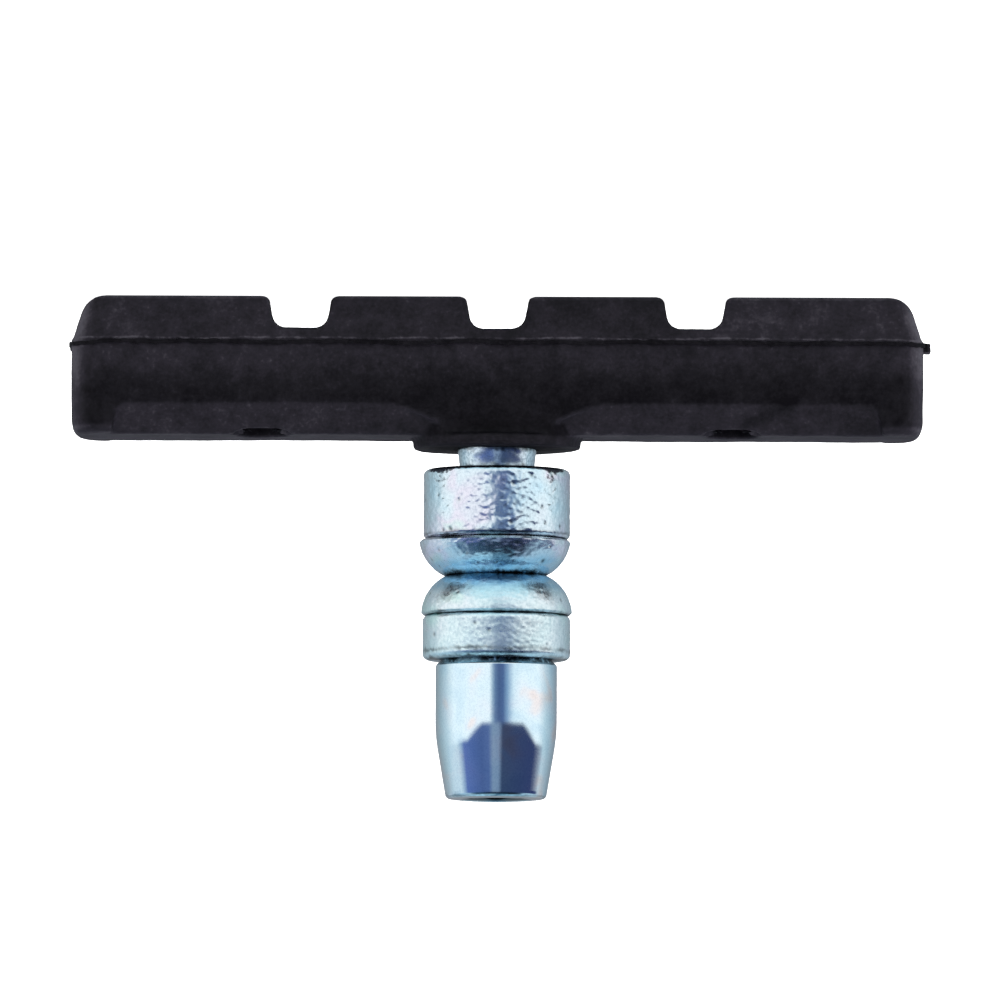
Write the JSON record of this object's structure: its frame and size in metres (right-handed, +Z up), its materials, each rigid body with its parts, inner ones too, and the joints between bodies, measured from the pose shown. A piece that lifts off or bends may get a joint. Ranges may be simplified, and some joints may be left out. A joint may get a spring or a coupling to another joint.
{
  "type": "bicycle brake pad",
  "caption": "Threaded-post rim brake pad: a grooved rubber block on a zinc-plated stud with dome and cup washers and a barrel nut with a hex socket.",
  "frame": {"origin": "middle of the friction face, on the stud's axis, at the bottom of the part", "axes": "+X along the rubber block, +Y across it, +Z up the stud from the friction face to the end of the nut"},
  "size_m": [0.0706, 0.0138, 0.0412],
  "materials": {
    "moulded_rubber": "matt moulded black rubber",
    "plain_steel": "plain mild steel strip",
    "zinc_plated_stud": "blue-white zinc plate on turned steel",
    "zinc_plated_washers": "blue-white zinc plate on pitted pressed steel",
    "zinc_plated_nut": "bright blue-white zinc plate on turned steel"
  },
  "bodies": {
    "pad": {"rubber_block": "moulded_rubber", "backing_plate": "plain_steel", "threaded_stud": "zinc_plated_stud", "thick_cup_washer": "zinc_plated_washers", "inner_dome_washer": "zinc_plated_washers"},
    "outer_washers": {"outer_dome_washer": "zinc_plated_washers", "thin_cup_washer": "zinc_plated_washers"},
    "nut": {"barrel_nut": "zinc_plated_nut"}
  },
  "joints": [
    {"name": "outer_washer_slide", "type": "slide", "parent": "pad", "child": "outer_washers", "axis": [0, 0, 1], "range_m": [0, 0.005]},
    {"name": "nut_turn", "type": "hinge", "parent": "outer_washers", "child": "nut", "pos_m": [0, 0, 0.0297], "axis": [0, 0, 1], "range_deg": [0, 1800]}
  ],
  "couplings": [
    {"joint": "nut_turn", "follows": "outer_washer_slide", "rad_per_m": 6283.2}
  ]
}
